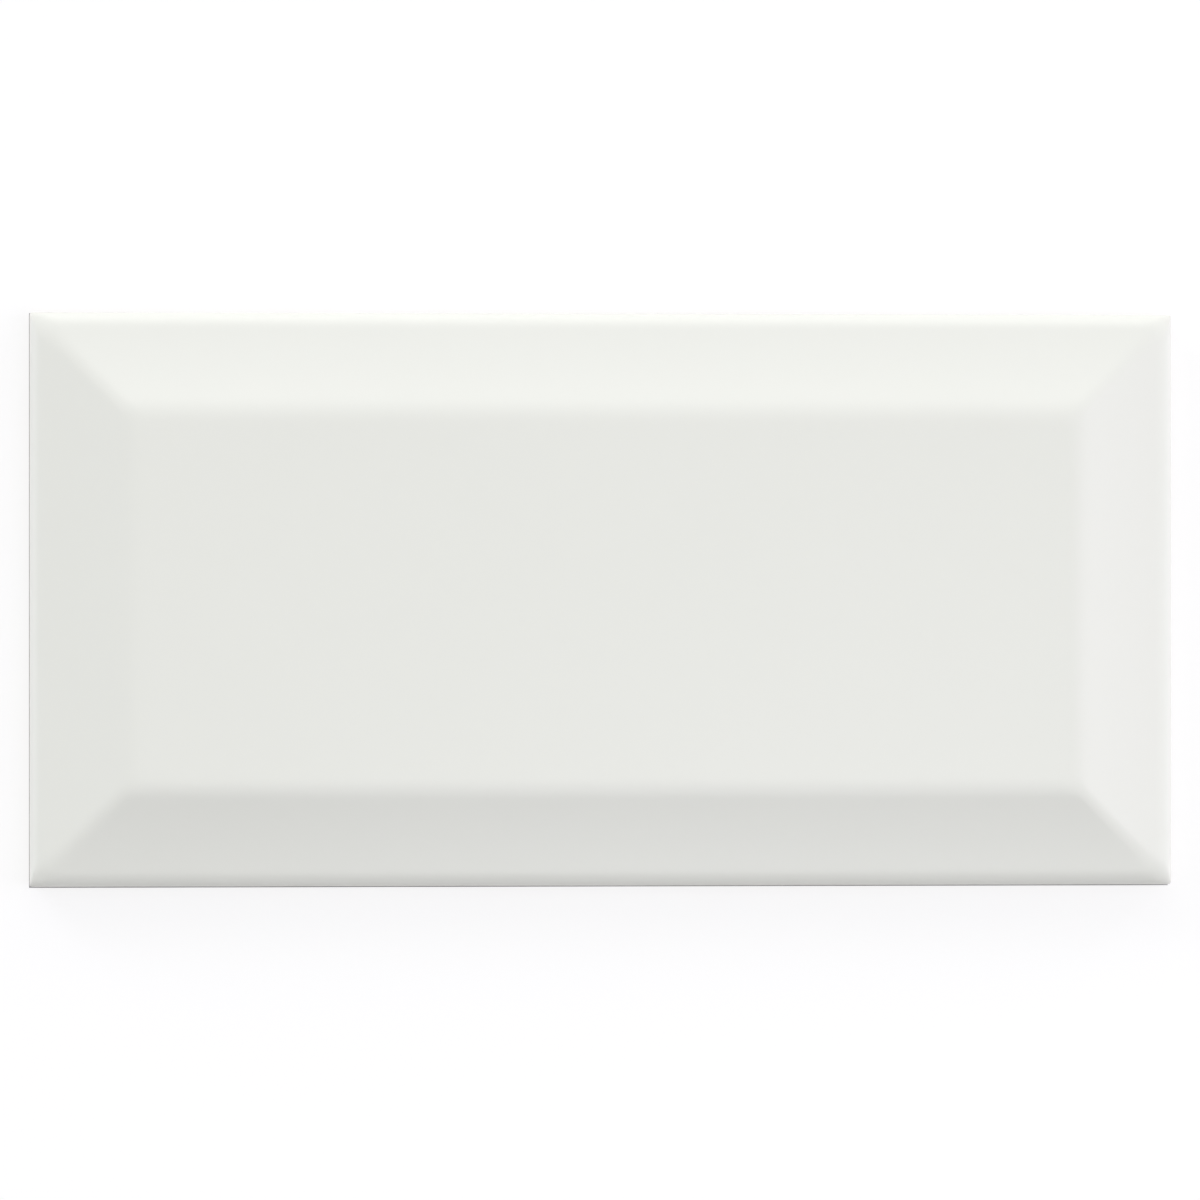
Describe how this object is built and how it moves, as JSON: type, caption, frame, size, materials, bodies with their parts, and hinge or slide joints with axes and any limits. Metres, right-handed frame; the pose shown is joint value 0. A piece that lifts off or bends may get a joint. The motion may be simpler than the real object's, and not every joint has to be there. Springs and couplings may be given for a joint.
{
  "type": "subway wall tile",
  "caption": "Oblong glazed ceramic wall tile with a wide mitred bevel on every side, a flat raised panel, square upright edges and a waffle key on the back.",
  "frame": {"origin": "middle of the back, in the plane of the ribs that the tile lies on", "axes": "+X along the long side, +Y up the short side as the front is seen in the picture, +Z out of the glazed face"},
  "size_m": [0.15, 0.075, 0.008],
  "materials": {
    "glaze": "soft satin white glaze over an off-white fired clay body, bare on the back and the foot of the edges"
  },
  "bodies": {
    "root": {"tile": "glaze"}
  },
  "joints": []
}
